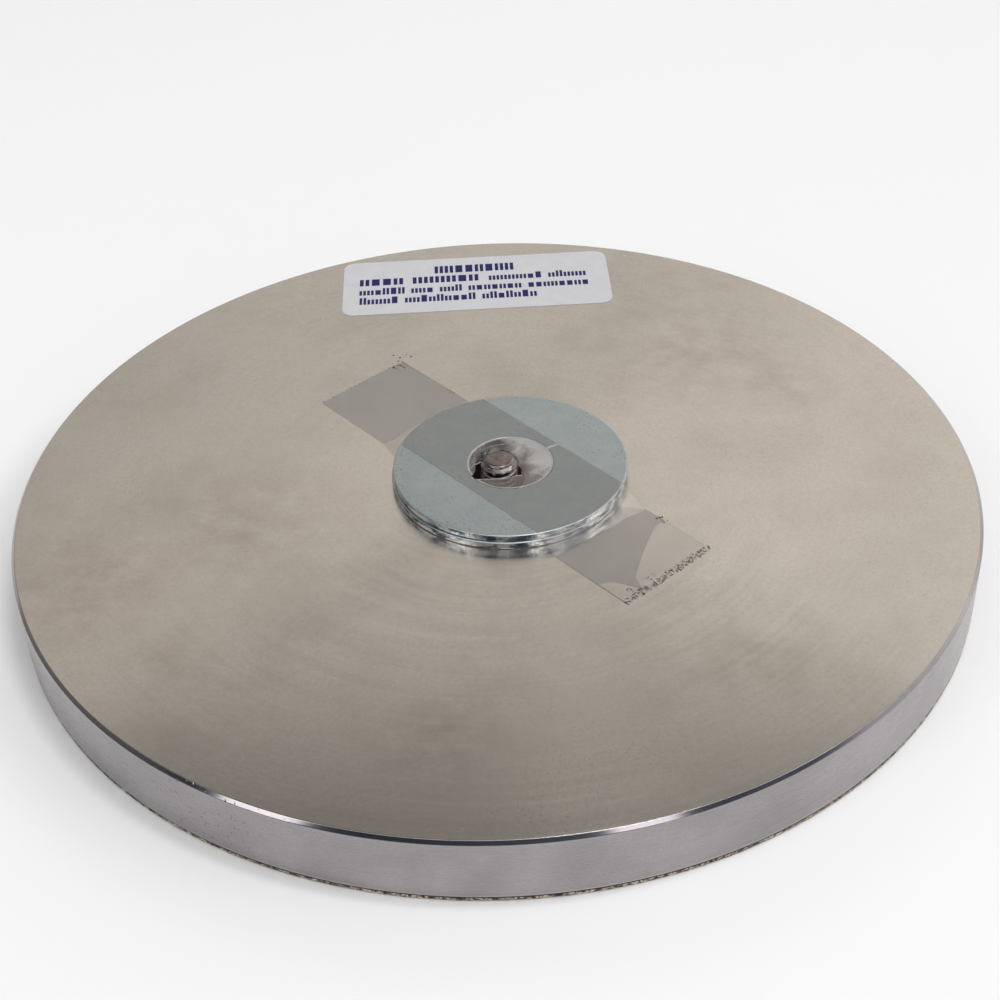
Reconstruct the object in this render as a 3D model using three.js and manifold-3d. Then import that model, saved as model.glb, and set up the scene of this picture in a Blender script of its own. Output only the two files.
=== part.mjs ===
// A face grinding wheel for lapidary work, as it is shipped: an aluminium plate with a diamond
// layer under it, lying on that layer, with its mounting hardware taped to its back.
// Millimetres, +Z up along the wheel's axis. The origin is on the axis, in the grinding plane.

import * as THREE from "three";
import * as BufferGeometryUtils from "three/addons/utils/BufferGeometryUtils.js";
import Module from "manifold-3d";

const wasm = await Module();
wasm.setup();

const INCH = 25.4;

// Wheel: its outside diameter, and how thick each layer is from the grinding plane up.
const WHEEL_RADIUS = 4 * INCH;
const DIAMOND_THICKNESS = 0.85;
const BOND_THICKNESS = 0.25;
const WHEEL_THICKNESS = 15;
const RIM_CHAMFER = 0.7;
const EDGE_BREAK = 0.3;

// Hub: a bore right through, and a recess in the grinding side for the bolt's head.
const BORE_RADIUS = INCH / 4;
const RECESS_RADIUS = 20;
const RECESS_CEILING = 8.5;
const DIAMOND_INNER_RADIUS = 22;

// Two spacer washers on the back, lying a little off the axis.
const SPACER_RADIUS = 25;
const SPACER_HOLE_RADIUS = 9.2;
const SPACER_THICKNESS = 1.6;
const LOWER_SPACER_CENTRE = new THREE.Vector2(3.1, 0.6);
const UPPER_SPACER_CENTRE = new THREE.Vector2(3.4, 0.9);

// Bolt: 5/16 in thread, half an inch long under a hexagon head, loose in the bore, with a flat washer.
const BOLT_CENTRE = new THREE.Vector2(1.1, 1.1);
const BOLT_LENGTH = INCH / 2;
const THREAD_RADIUS = (5 / 32) * INCH;
const BOLT_TIP_RADIUS = 2.8;
const HEAD_ACROSS_FLATS = INCH / 2;
const HEAD_HEIGHT = 5.3;
const HEAD_CHAMFER_RADIUS = 0.475 * HEAD_ACROSS_FLATS;
const HEAD_CHAMFER_SLOPE = Math.tan(THREE.MathUtils.degToRad(30));
const BOLT_WASHER_RADIUS = (7 / 16) * INCH;
const BOLT_WASHER_HOLE_RADIUS = (3 / 16) * INCH;
const BOLT_WASHER_THICKNESS = 2;
const WASHER_EDGE_BREAK = 0.2;

// Label: a sticker on the back, near the rim.
const LABEL_SIZE = new THREE.Vector2((2 + 5 / 8) * INCH, INCH);
const LABEL_CENTRE = new THREE.Vector2(-2.7, 81.4);
const LABEL_TURN = THREE.MathUtils.degToRad(1);
const LABEL_CORNER_RADIUS = 3;
const LABEL_THICKNESS = 0.1;

// Tape: a strip of clear film over the spacers, stuck to the plate at both ends, and torn open
// where the bolt's tip stands through it.
const TAPE_LENGTH = 98;
const TAPE_WIDTH = 24.7;
const TAPE_THICKNESS = 0.1;
const TAPE_TURN = THREE.MathUtils.degToRad(-48.9);
const TAPE_CORNER = new THREE.Vector2(-39.4, 30.8);
const STUCK_UNTIL = 22.7;
const STUCK_FROM = 79.5;
const SPACER_CLEARANCE = 0.5;
const TEAR_RADIUS = 5.5;

const PLATE_BOTTOM = DIAMOND_THICKNESS + BOND_THICKNESS;
const UPPER_SPACER_BOTTOM = WHEEL_THICKNESS + SPACER_THICKNESS;
const SPACER_TOP = WHEEL_THICKNESS + 2 * SPACER_THICKNESS;
const HEAD_TOP = RECESS_CEILING - BOLT_WASHER_THICKNESS;
const HEAD_BOTTOM = HEAD_TOP - HEAD_HEIGHT;
const BOLT_TIP = HEAD_TOP + BOLT_LENGTH;

const WHEEL_SIDES = 128;
const SPACER_SIDES = 64;
const BOLT_SIDES = 48;
const TAPE_LINES = 15;

// A body of revolution about Z from a closed profile of [radius, height] points, taken
// anticlockwise as seen with the radius to the right and the height up.
function turned(profile, sides) {
  const points = [...profile, profile[0]].map(([radius, height]) => new THREE.Vector2(radius, height));
  return new THREE.LatheGeometry(points, sides).rotateX(Math.PI / 2);
}

// The profile of a ring with its four edges broken, as a punched or turned ring has.
function ringProfile(inner, outer, bottom, top, edge) {
  return [
    [inner, bottom + edge],
    [inner + edge, bottom],
    [outer - edge, bottom],
    [outer, bottom + edge],
    [outer, top - edge],
    [outer - edge, top],
    [inner + edge, top],
    [inner, top - edge],
  ];
}

function toSolid(geometry) {
  const bare = geometry.clone();
  bare.deleteAttribute("normal");
  bare.deleteAttribute("uv");
  const merged = BufferGeometryUtils.mergeVertices(bare, 1e-4);
  const mesh = new wasm.Mesh({
    numProp: 3,
    vertProperties: merged.attributes.position.array,
    triVerts: new Uint32Array(merged.index.array),
  });
  return new wasm.Manifold(mesh);
}

function toGeometry(solid) {
  const mesh = solid.getMesh();
  const geometry = new THREE.BufferGeometry();
  geometry.setAttribute("position", new THREE.BufferAttribute(mesh.vertProperties, 3));
  geometry.setIndex(new THREE.BufferAttribute(mesh.triVerts, 1));
  geometry.computeVertexNormals();
  return geometry;
}

function piece(name, geometry, color, roughness, metalness) {
  const mesh = new THREE.Mesh(geometry, new THREE.MeshStandardMaterial({ color, roughness, metalness }));
  mesh.name = name;
  return mesh;
}

function backingPlate() {
  const profile = [
    [BORE_RADIUS, RECESS_CEILING + EDGE_BREAK],
    [BORE_RADIUS + EDGE_BREAK, RECESS_CEILING],
    [RECESS_RADIUS, RECESS_CEILING],
    [RECESS_RADIUS, PLATE_BOTTOM + EDGE_BREAK],
    [RECESS_RADIUS + EDGE_BREAK, PLATE_BOTTOM],
    [WHEEL_RADIUS, PLATE_BOTTOM],
    [WHEEL_RADIUS, WHEEL_THICKNESS - RIM_CHAMFER],
    [WHEEL_RADIUS - RIM_CHAMFER, WHEEL_THICKNESS],
    [BORE_RADIUS + EDGE_BREAK, WHEEL_THICKNESS],
    [BORE_RADIUS, WHEEL_THICKNESS - EDGE_BREAK],
  ];
  return piece("backing_plate", turned(profile, WHEEL_SIDES), 0xa59e94, 0.35, 1);
}

// A flat ring under the plate, from the recess's edge to the rim.
function wheelLayer(bottom, top) {
  const profile = [
    [DIAMOND_INNER_RADIUS, bottom],
    [WHEEL_RADIUS, bottom],
    [WHEEL_RADIUS, top],
    [DIAMOND_INNER_RADIUS, top],
  ];
  return turned(profile, WHEEL_SIDES);
}

function spacerWasher(name, centre, bottom) {
  const profile = ringProfile(SPACER_HOLE_RADIUS, SPACER_RADIUS, 0, SPACER_THICKNESS, WASHER_EDGE_BREAK);
  const washer = piece(name, turned(profile, SPACER_SIDES), 0x9aa5a6, 0.35, 1);
  washer.position.set(centre.x, centre.y, bottom);
  return washer;
}

function boltWasher() {
  const profile = ringProfile(
    BOLT_WASHER_HOLE_RADIUS,
    BOLT_WASHER_RADIUS,
    0,
    BOLT_WASHER_THICKNESS,
    WASHER_EDGE_BREAK,
  );
  const washer = piece("bolt_washer", turned(profile, BOLT_SIDES), 0x9aa5a6, 0.35, 1);
  washer.position.set(BOLT_CENTRE.x, BOLT_CENTRE.y, HEAD_TOP);
  return washer;
}

// The head's hexagon, with its outer corners cut by a 30 degree cone.
function boltHead() {
  const cornerRadius = HEAD_ACROSS_FLATS / Math.sqrt(3);
  const hexagon = new THREE.CylinderGeometry(cornerRadius, cornerRadius, HEAD_HEIGHT, 6).rotateX(Math.PI / 2);
  hexagon.translate(0, 0, HEAD_BOTTOM + HEAD_HEIGHT / 2);
  const wide = 2 * cornerRadius;
  const cone = [
    [0, HEAD_BOTTOM],
    [HEAD_CHAMFER_RADIUS, HEAD_BOTTOM],
    [wide, HEAD_BOTTOM + (wide - HEAD_CHAMFER_RADIUS) * HEAD_CHAMFER_SLOPE],
    [wide, HEAD_TOP + HEAD_HEIGHT],
    [0, HEAD_TOP + HEAD_HEIGHT],
  ];
  return toSolid(hexagon).intersect(toSolid(turned(cone, BOLT_SIDES)));
}

// The shank, with a 45 degree point, reaching a little way into the head.
function boltShank() {
  const pointHeight = THREAD_RADIUS - BOLT_TIP_RADIUS;
  const profile = [
    [0, HEAD_TOP - HEAD_HEIGHT / 2],
    [THREAD_RADIUS, HEAD_TOP - HEAD_HEIGHT / 2],
    [THREAD_RADIUS, BOLT_TIP - pointHeight],
    [BOLT_TIP_RADIUS, BOLT_TIP],
    [0, BOLT_TIP],
  ];
  return toSolid(turned(profile, BOLT_SIDES));
}

function mountingBolt() {
  const bolt = piece("mounting_bolt", toGeometry(boltHead().add(boltShank())), 0x8c8884, 0.3, 1);
  bolt.position.set(BOLT_CENTRE.x, BOLT_CENTRE.y, 0);
  return bolt;
}

function label() {
  const [halfWidth, halfHeight] = [LABEL_SIZE.x / 2, LABEL_SIZE.y / 2];
  const outline = new THREE.Shape();
  const corners = [[1, -1], [1, 1], [-1, 1], [-1, -1]];
  corners.forEach(([right, up], quarter) => {
    const x = right * (halfWidth - LABEL_CORNER_RADIUS);
    const y = up * (halfHeight - LABEL_CORNER_RADIUS);
    const start = ((quarter - 1) * Math.PI) / 2;
    outline.absarc(x, y, LABEL_CORNER_RADIUS, start, start + Math.PI / 2, false);
  });
  const options = { depth: LABEL_THICKNESS, bevelEnabled: false, curveSegments: 6 };
  const sticker = piece("label", new THREE.ExtrudeGeometry(outline, options), 0xdcdce0, 0.5, 0);
  sticker.position.set(LABEL_CENTRE.x, LABEL_CENTRE.y, WHEEL_THICKNESS);
  sticker.rotation.z = LABEL_TURN;
  return sticker;
}

// Where a plan point lies in the tape's own frame: x along it and y across it, from its corner.
function onTape(point) {
  return point.clone().sub(TAPE_CORNER).rotateAround(new THREE.Vector2(), -TAPE_TURN);
}

// The film's underside across one line of the tape: stuck down, up to the spacers' edge, over
// them, and down to the plate again.
function tapeLine(across) {
  const spacer = onTape(UPPER_SPACER_CENTRE);
  const halfChord = Math.sqrt((SPACER_RADIUS + SPACER_CLEARANCE) ** 2 - (across - spacer.y) ** 2);
  return [
    [0, WHEEL_THICKNESS],
    [STUCK_UNTIL, WHEEL_THICKNESS],
    [spacer.x - halfChord, SPACER_TOP],
    [spacer.x + halfChord, SPACER_TOP],
    [STUCK_FROM, WHEEL_THICKNESS],
    [TAPE_LENGTH, WHEEL_THICKNESS],
  ];
}

// A sheet of the given thickness over lines of points, as many in each: an underside and a top
// of the same grid, and a wall round them.
function closedSheet(lines, thickness) {
  const [rows, columns] = [lines.length, lines[0].length];
  const underside = lines.flat();
  const top = underside.map(([x, y, z]) => [x, y, z + thickness]);
  const at = (row, column) => row * columns + column;
  const lift = rows * columns;
  const faces = [];
  const wall = (a, b) => faces.push(a, b, b + lift, a, b + lift, a + lift);
  for (let row = 0; row < rows - 1; row += 1) {
    for (let column = 0; column < columns - 1; column += 1) {
      const [a, b] = [at(row, column), at(row, column + 1)];
      const [c, d] = [b + columns, a + columns];
      faces.push(a, c, b, a, d, c);
      faces.push(a + lift, b + lift, c + lift, a + lift, c + lift, d + lift);
    }
    wall(at(row, columns - 1), at(row + 1, columns - 1));
    wall(at(row + 1, 0), at(row, 0));
  }
  for (let column = 0; column < columns - 1; column += 1) {
    wall(at(0, column), at(0, column + 1));
    wall(at(rows - 1, column + 1), at(rows - 1, column));
  }
  const geometry = new THREE.BufferGeometry();
  geometry.setAttribute("position", new THREE.Float32BufferAttribute([...underside, ...top].flat(), 3));
  geometry.setIndex(faces);
  return geometry;
}

function holdingTape() {
  const bolt = onTape(BOLT_CENTRE);
  const tear = new THREE.CylinderGeometry(TEAR_RADIUS, TEAR_RADIUS, SPACER_THICKNESS, BOLT_SIDES);
  tear.rotateX(Math.PI / 2).translate(bolt.x, bolt.y, SPACER_TOP);
  const lines = Array.from({ length: TAPE_LINES }, (_, line) => {
    const across = (TAPE_WIDTH * line) / (TAPE_LINES - 1);
    return tapeLine(across).map(([along, height]) => [along, across, height]);
  });
  const film = toSolid(closedSheet(lines, TAPE_THICKNESS)).subtract(toSolid(tear));
  const tape = piece("holding_tape", toGeometry(film), 0x96918c, 0.25, 0);
  tape.position.set(TAPE_CORNER.x, TAPE_CORNER.y, 0);
  tape.rotation.z = TAPE_TURN;
  return tape;
}

const wheel = new THREE.Group();
wheel.add(
  backingPlate(),
  piece("bond_layer", wheelLayer(DIAMOND_THICKNESS, PLATE_BOTTOM), 0x2a2724, 0.7, 0),
  piece("diamond_layer", wheelLayer(0, DIAMOND_THICKNESS), 0x5a4a3c, 0.8, 0.4),
  label(),
);

const hardware = new THREE.Group();
hardware.add(
  spacerWasher("spacer_washer_lower", LOWER_SPACER_CENTRE, WHEEL_THICKNESS),
  spacerWasher("spacer_washer_upper", UPPER_SPACER_CENTRE, UPPER_SPACER_BOTTOM),
  boltWasher(),
  mountingBolt(),
  holdingTape(),
);

const grindingWheel = new THREE.Group();
grindingWheel.add(wheel, hardware);

export default grindingWheel;
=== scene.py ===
import math
import random

import bmesh
import bpy
import numpy as np
from mathutils import Matrix, Vector, geometry, noise


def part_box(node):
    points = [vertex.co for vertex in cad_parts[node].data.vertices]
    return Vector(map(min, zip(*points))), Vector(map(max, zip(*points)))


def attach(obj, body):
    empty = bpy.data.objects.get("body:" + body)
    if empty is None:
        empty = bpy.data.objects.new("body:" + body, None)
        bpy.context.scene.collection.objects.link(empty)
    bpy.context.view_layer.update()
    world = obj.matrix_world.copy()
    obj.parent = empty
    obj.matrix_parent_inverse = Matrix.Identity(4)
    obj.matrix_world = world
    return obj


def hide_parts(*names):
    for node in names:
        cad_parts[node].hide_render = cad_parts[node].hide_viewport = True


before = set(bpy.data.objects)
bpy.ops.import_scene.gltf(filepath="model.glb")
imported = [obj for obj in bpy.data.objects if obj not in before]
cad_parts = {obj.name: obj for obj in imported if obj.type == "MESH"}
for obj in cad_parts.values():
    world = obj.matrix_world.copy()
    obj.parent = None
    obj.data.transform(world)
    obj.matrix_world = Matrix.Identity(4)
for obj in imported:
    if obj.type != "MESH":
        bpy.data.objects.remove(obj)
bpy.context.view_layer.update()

# The object lies on its grinding face, back up. Lengths are in metres, and +Z is up along the wheel's axis.
MM = 0.001
INCH = 25.4 * MM

PLATE_LOW, PLATE_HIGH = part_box("backing_plate")
DIAMOND_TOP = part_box("diamond_layer")[1].z
BOLT_LOW, BOLT_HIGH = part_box("mounting_bolt")
WHEEL_RADIUS = PLATE_HIGH.x
WHEEL_TOP = PLATE_HIGH.z
PLATE_BOTTOM = PLATE_LOW.z
BORE_RADIUS = INCH / 4
RECESS_RADIUS = 20 * MM
RECESS_CEILING = 8.5 * MM
RIM_CHAMFER = 0.7 * MM
DIAMOND_INNER_RADIUS = 22 * MM

SPACER_HOLE_RADIUS = 9.2 * MM
SPACER_THICKNESS = 1.6 * MM
SPACER_TOP = WHEEL_TOP + 2 * SPACER_THICKNESS
BOLT_WASHER_HOLE_RADIUS = 3 / 16 * INCH

BOLT_CENTRE = (BOLT_LOW + BOLT_HIGH) / 2
BOLT_TIP = BOLT_HIGH.z
HEAD_BOTTOM = BOLT_LOW.z
HEAD_HEIGHT = 5.3 * MM
HEAD_TOP = HEAD_BOTTOM + HEAD_HEIGHT
HEAD_ACROSS_FLATS = INCH / 2
HEAD_FACE_RADIUS = 0.475 * HEAD_ACROSS_FLATS
HEAD_CONE = math.radians(30)
THREAD_RADIUS = 5 / 32 * INCH
THREAD_PITCH = INCH / 18
THREAD_DEPTH = 0.6 * THREAD_PITCH
BOLT_TIP_RADIUS = 2.8 * MM

LABEL_SIZE = Vector((2.625 * INCH, INCH))
LABEL_TURN = math.radians(1)
LABEL_CORNER_RADIUS = 3 * MM
LABEL_LIFT, LABEL_TOP = 0.002 * MM, 0.08 * MM

# The tape has a plan frame of its own, in millimetres: along it and across it, from its corner. Flat, it is
# a little longer than in plan, because it climbs on to the washers and down again. Its long edges show as
# thin bands, and over the washers its zones end a little inside their hole and their rim.
TAPE_LENGTH = 98
TAPE_WIDTH = 24.7
EDGE_BAND = 0.18
HOLE_INSET, RIM_INSET = 0.4, 0.3
TAPE_TURN = math.radians(-48.9)
TAPE_CORNER = Vector((-39.4, 30.8))
FILM_THICKNESS = 0.05 * MM
FILM_GAP = 0.015 * MM

# The camera looks along +Y and down at the back of the wheel, a little rolled.
CAMERA_TARGET = Vector((0.9 * MM, -7.9 * MM, WHEEL_TOP))
CAMERA_DISTANCE = 363.6 * MM
CAMERA_ELEVATION = math.radians(37.76)
CAMERA_ROLL = math.radians(-2.47)
CAMERA_LENS = 62.32


# --- Meshes


def add_object(name, mesh, body, replaced=None):
    """Puts a mesh in the scene, smooth and with its faces outward, on a CAD body."""
    work = bmesh.new()
    work.from_mesh(mesh)
    bmesh.ops.recalc_face_normals(work, faces=work.faces)
    work.to_mesh(mesh)
    work.free()
    mesh.shade_smooth()
    piece = bpy.data.objects.new(name, mesh)
    bpy.context.scene.collection.objects.link(piece)
    if replaced:
        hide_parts(replaced)
    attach(piece, body)
    return piece


def mesh_of(name, points, faces):
    mesh = bpy.data.meshes.new(name)
    mesh.from_pydata([tuple(p) for p in points], [], faces)
    mesh.update()
    return mesh


def rounded(corners, steps=5, guard=0.12 * MM):
    """The closed profile through (radius, height, rounding) corners, with an arc at each. A point on the
    straight before and after each arc keeps smooth shading inside the arc."""
    profile = []
    for index, (radius, height, rounding) in enumerate(corners):
        here = Vector((radius, height))
        before = (Vector(corners[index - 1][:2]) - here).normalized()
        after = (Vector(corners[(index + 1) % len(corners)][:2]) - here).normalized()
        half = before.angle(after) / 2
        reach = rounding / math.tan(half)
        centre = here + (before + after).normalized() * rounding / math.sin(half)
        first, last = here + before * reach, here + after * reach
        profile.append(first + before * guard)
        for step in range(steps + 1):
            spoke = (first - centre).lerp(last - centre, step / steps)
            profile.append(centre + spoke.normalized() * rounding)
        profile.append(last + after * guard)
    return profile


def turned(name, profile, sides, centre=(0, 0)):
    """The closed profile turned about an axis along Z, in so many sides."""
    angles = np.arange(sides) * math.tau / sides
    radii, heights = np.array(profile).T
    points = np.empty((sides, len(profile), 3))
    points[..., 0] = centre[0] + np.cos(angles)[:, None] * radii
    points[..., 1] = centre[1] + np.sin(angles)[:, None] * radii
    points[..., 2] = heights
    rings = len(profile)
    faces = []
    for side in range(sides):
        a, b = side * rings, (side + 1) % sides * rings
        for ring in range(rings):
            following = (ring + 1) % rings
            faces.append((a + ring, b + ring, b + following, a + following))
    return mesh_of(name, points.reshape(-1, 3), faces)


def bridge(first, second):
    """Faces between two rings of vertex numbers, where one ring may hold twice as many as the other."""
    if len(first) == len(second):
        count = len(first)
        return [(first[i], first[(i + 1) % count], second[(i + 1) % count], second[i]) for i in range(count)]
    if len(first) < len(second):
        return [tuple(reversed(face)) for face in bridge(second, first)]
    faces, count = [], len(first)
    for i in range(len(second)):
        here, after = second[i], second[(i + 1) % len(second)]
        a, b, c = first[2 * i], first[2 * i + 1], first[(2 * i + 2) % count]
        faces += [(a, b, here), (b, after, here), (b, c, after)]
    return faces


def paint(mesh, name, values):
    """Keeps a number for each vertex, which a material reads by its name."""
    mesh.attributes.new(name, "FLOAT", "POINT").data.foreach_set("value", values)


# --- Materials


class Nodes:
    """Short calls for a node tree's nodes. Where a call takes a value, it takes a socket too."""

    def __init__(self, tree):
        self.tree = tree

    def put(self, socket, value):
        if isinstance(value, bpy.types.NodeSocket):
            self.tree.links.new(value, socket)
        else:
            socket.default_value = value

    def add(self, kind, **inputs):
        node = self.tree.nodes.new("ShaderNode" + kind)
        for socket, value in inputs.items():
            self.put(node.inputs[socket.replace("_", " ")], value)
        return node

    def math(self, operation, *values):
        node = self.add("Math")
        node.operation = operation
        for socket, value in zip(node.inputs, values):
            self.put(socket, value)
        return node.outputs[0]

    def noise(self, vector, scale, detail=3.0, roughness=0.5, distortion=0.0):
        inputs = {"Scale": scale, "Detail": detail, "Roughness": roughness, "Distortion": distortion}
        return self.add("TexNoise", Vector=vector, **inputs).outputs["Fac"]

    def cells(self, vector, scale, output="Distance"):
        return self.add("TexVoronoi", Vector=vector, Scale=scale).outputs[output]

    def span(self, value, low, high, to_low=0.0, to_high=1.0):
        """The value's place between low and high, clamped, as a number from to_low to to_high."""
        node = self.add("MapRange", Value=value)
        for socket, number in zip(list(node.inputs)[1:5], (low, high, to_low, to_high)):
            self.put(socket, number)
        return node.outputs[0]

    def mix(self, share, first, second):
        node = self.add("Mix")
        node.data_type = "RGBA"
        for socket, value in zip((node.inputs[0], node.inputs[6], node.inputs[7]), (share, first, second)):
            self.put(socket, value)
        return node.outputs[2]

    def join(self, x, y, z):
        return self.add("CombineXYZ", X=x, Y=y, Z=z).outputs[0]

    def split(self, vector):
        return self.add("SeparateXYZ", Vector=vector).outputs

    def bump(self, height, distance, under=None):
        node = self.add("Bump", Height=height, Distance=distance, Strength=1.0)
        if under:
            self.put(node.inputs["Normal"], under)
        return node.outputs[0]

    def attribute(self, name):
        node = self.add("Attribute")
        node.attribute_name = name
        return node.outputs["Fac"]


class Look(Nodes):
    """One material."""

    def __init__(self, name, **settings):
        self.material = bpy.data.materials.new(name)
        self.material.use_nodes = True
        super().__init__(self.material.node_tree)
        self.surface = self.tree.nodes["Principled BSDF"]
        self.object = self.add("TexCoord").outputs["Object"]
        self.set(**settings)

    def set(self, **settings):
        for socket, value in settings.items():
            self.put(self.surface.inputs[socket.replace("_", " ")], value)

    def round_z(self, centre=(0, 0)):
        """The radius about an axis along Z, and the angle as (cosine, sine), which has no seam."""
        x, y, _ = self.split(self.object)
        x = self.math("SUBTRACT", x, centre[0])
        y = self.math("SUBTRACT", y, centre[1])
        radius = self.math("SQRT", self.math("ADD", self.math("MULTIPLY", x, x), self.math("MULTIPLY", y, y)))
        safe = self.math("MAXIMUM", radius, 1e-5)
        return radius, (self.math("DIVIDE", x, safe), self.math("DIVIDE", y, safe))

    def rings(self, radius, direction, per_metre, along):
        """Coordinates for noise that is fine across the rings and long along them."""
        cosine, sine = direction
        return self.join(
            self.math("MULTIPLY", radius, per_metre),
            self.math("MULTIPLY", cosine, along),
            self.math("MULTIPLY", sine, along),
        )


def grey(value):
    return (value, value, value, 1)


# Brown smudges and wider stains on the plate's back: the middle of each and its reach, in metres.
SMUDGES = (
    (-25 * MM, -21 * MM, 3.0 * MM),
    (1 * MM, -28 * MM, 4.5 * MM),
    (-63 * MM, -52 * MM, 13 * MM),
    (66 * MM, 31 * MM, 16 * MM),
    (-12 * MM, -78 * MM, 15 * MM),
    (48 * MM, -60 * MM, 12 * MM),
    (-82 * MM, -28 * MM, 34 * MM),
    (-52 * MM, -12 * MM, 30 * MM),
    (50 * MM, 48 * MM, 32 * MM),
)


def smudge_share(look):
    """How strongly the smudges cover a place, each fading out from a fifth of its reach, and ragged."""
    ragged = look.noise(look.object, 150, 5, 0.68)
    x, y, _ = look.split(look.object)
    total = 0.0
    for centre_x, centre_y, reach in SMUDGES:
        across = look.math("POWER", look.math("SUBTRACT", x, centre_x), 2.0)
        along = look.math("POWER", look.math("SUBTRACT", y, centre_y), 2.0)
        distance = look.math("SQRT", look.math("ADD", across, along))
        share = look.span(distance, 0.2 * reach, reach, 1, 0)
        total = look.math("MAXIMUM", total, share)
    return look.math("MULTIPLY", total, look.span(ragged, 0.32, 0.72))


def turned_face_look():
    """The plate's back: finely turned aluminium with soft stains, smudges and small dark specks."""
    look = Look("turned_aluminium", Metallic=1.0, Anisotropic=0.85, Anisotropic_Rotation=0.25)
    tangent = look.add("Tangent")
    tangent.direction_type = "RADIAL"
    tangent.axis = "Z"
    look.set(Tangent=tangent.outputs[0])
    radius, direction = look.round_z()
    fine = look.noise(look.rings(radius, direction, 3500, 3), 1.0, 2)
    broad = look.noise(look.rings(radius, direction, 600, 1.5), 1.0, 3)
    clouds = look.noise(look.object, 9, 3, 0.5, 0.3)
    patches = look.noise(look.object, 38, 5, 0.6, 0.2)
    grain = look.noise(look.object, 1900, 2, 0.7)
    warm, cool, dull = (0.65, 0.595, 0.535, 1), (0.595, 0.56, 0.5, 1), (0.47, 0.42, 0.36, 1)
    smudge, speck, shade = (0.3, 0.22, 0.17, 1), (0.2, 0.16, 0.12, 1), (0.4, 0.36, 0.31, 1)
    color = look.mix(look.span(clouds, 0.36, 0.64), warm, cool)
    color = look.mix(look.span(patches, 0.46, 0.76, 0, 0.4), color, dull)
    color = look.mix(look.math("MULTIPLY", smudge_share(look), 0.36), color, smudge)
    specks = look.span(look.cells(look.object, 1100), 0.08, 0.22, 1, 0)
    wanted = look.span(look.noise(look.object, 34, 2), 0.5, 0.72)
    color = look.mix(look.math("MULTIPLY", look.math("MULTIPLY", specks, wanted), 0.45), color, speck)
    color = look.mix(look.span(grain, 0.3, 0.7, 0.0, 0.26), color, shade)
    color = look.mix(look.span(fine, 0.3, 0.7, 0, 0.05), color, grey(0.3))
    spread = look.span(broad, 0.35, 0.65, -0.012, 0.012)
    roughness = look.math("ADD", look.span(patches, 0.4, 0.75, 0.18, 0.225), spread)
    grooves = look.math("ADD", fine, look.math("MULTIPLY", broad, 0.6))
    look.set(Base_Color=color, Roughness=roughness, Normal=look.bump(grooves, 0.0015 * MM))
    return look.material


def rim_look():
    """The plate's rim and chamfer: turned smooth, clouded, with a painted highlight at the foot and small
    pits on the left.
    """
    look = Look("turned_rim", Metallic=1.0)
    x, y, z = look.split(look.object)
    level = look.math("MULTIPLY", z, 3000)
    lines = look.noise(look.join(look.math("MULTIPLY", x, 8), look.math("MULTIPLY", y, 8), level), 1.0, 3)
    patches = look.noise(look.object, 70, 4, 0.55)
    grain = look.noise(look.object, 1400, 2, 0.7)
    pits = look.span(look.cells(look.object, 900), 0.1, 0.25, 1, 0)
    here = look.math("MULTIPLY", look.span(x, -0.075, -0.06), look.span(x, -0.05, -0.035, 1, 0))
    pitted = look.math("MULTIPLY", look.math("MULTIPLY", pits, here), look.span(patches, 0.4, 0.55))
    clean, clouded, grey_brown = (0.395, 0.372, 0.377, 1), (0.313, 0.292, 0.296, 1), (0.3, 0.28, 0.29, 1)
    foot_highlight, pit = (0.6, 0.56, 0.53, 1), (0.1, 0.085, 0.08, 1)
    color = look.mix(look.span(patches, 0.35, 0.7), clean, clouded)
    color = look.mix(look.span(grain, 0.3, 0.7, 0, 0.3), color, grey_brown)
    # Painted highlight: a lighter band along the rim's bottom half millimetre.
    foot = look.span(z, PLATE_BOTTOM + 0.25 * MM, PLATE_BOTTOM + 0.5 * MM, 0.55, 0)
    color = look.mix(foot, color, foot_highlight)
    color = look.mix(look.math("MULTIPLY", pitted, 0.8), color, pit)
    worn = look.span(z, WHEEL_TOP - RIM_CHAMFER - 0.2 * MM, WHEEL_TOP - RIM_CHAMFER)
    roughness = look.span(worn, 0, 1, look.span(lines, 0.3, 0.7, 0.24, 0.32), 0.13)
    pit_bump = look.bump(look.math("SUBTRACT", 1.0, pitted), 0.03 * MM)
    look.set(Base_Color=color, Roughness=roughness, Normal=look.bump(lines, 0.0005 * MM, under=pit_bump))
    return look.material


def recess_look():
    """The recess and the bore: as left by a boring tool, with coarser rings."""
    look = Look("bored_aluminium", Metallic=1.0)
    radius, direction = look.round_z()
    _, _, z = look.split(look.object)
    reach = look.math("ADD", radius, z)
    rings = look.noise(look.rings(reach, direction, 3500, 2), 1.0, 2)
    stains = look.noise(look.object, 120, 4)
    color = look.mix(look.span(stains, 0.4, 0.75), (0.58, 0.56, 0.54, 1), (0.36, 0.33, 0.3, 1))
    look.set(
        Base_Color=color,
        Roughness=look.span(stains, 0.35, 0.7, 0.28, 0.45),
        Normal=look.bump(rings, 0.012 * MM),
    )
    return look.material


def bond_look():
    """Dark cured adhesive, lumpy and a little glossy."""
    look = Look("bond_line", Specular_IOR_Level=0.4)
    lumps = look.noise(look.object, 900, 4, 0.6)
    color = look.mix(look.span(lumps, 0.35, 0.7), (0.012, 0.01, 0.009, 1), (0.06, 0.048, 0.038, 1))
    look.set(
        Base_Color=color,
        Roughness=look.span(lumps, 0.3, 0.7, 0.35, 0.7),
        Normal=look.bump(lumps, 0.08 * MM),
    )
    return look.material


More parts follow.
